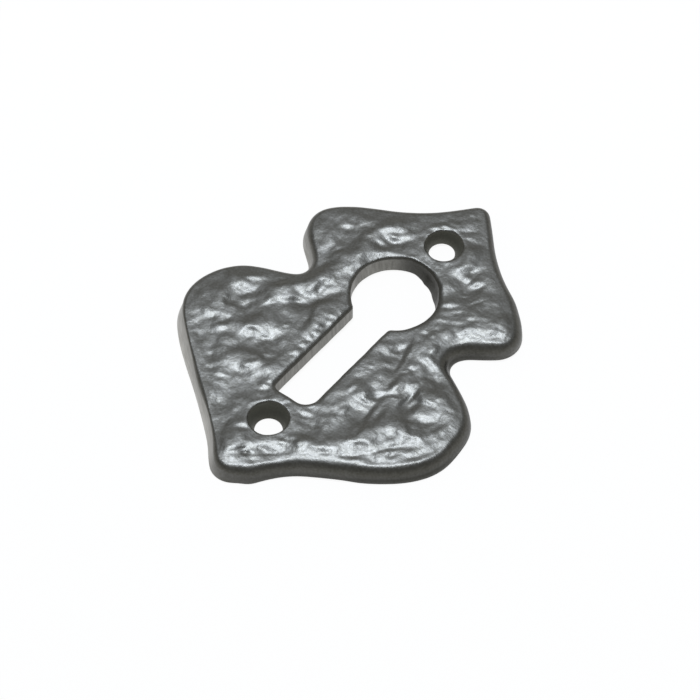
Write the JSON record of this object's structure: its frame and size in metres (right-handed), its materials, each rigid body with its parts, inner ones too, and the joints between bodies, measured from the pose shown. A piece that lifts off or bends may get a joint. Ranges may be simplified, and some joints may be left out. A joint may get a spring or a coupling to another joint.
{
  "type": "keyhole escutcheon",
  "caption": "Hammered black cast-iron keyhole escutcheon with ogee-pointed ends, rounded shoulders, wide lower lobes, a lever-lock keyhole and countersunk screw holes.",
  "frame": {"origin": "centre of the keyhole's round part, on the flat back of the plate", "axes": "+X to the right across the plate, +Y up the plate towards the round end of the keyhole, +Z out of the face"},
  "size_m": [0.0472, 0.06, 0.0028],
  "materials": {
    "black_iron": "satin black"
  },
  "bodies": {
    "root": {"escutcheon": "black_iron"}
  },
  "joints": []
}
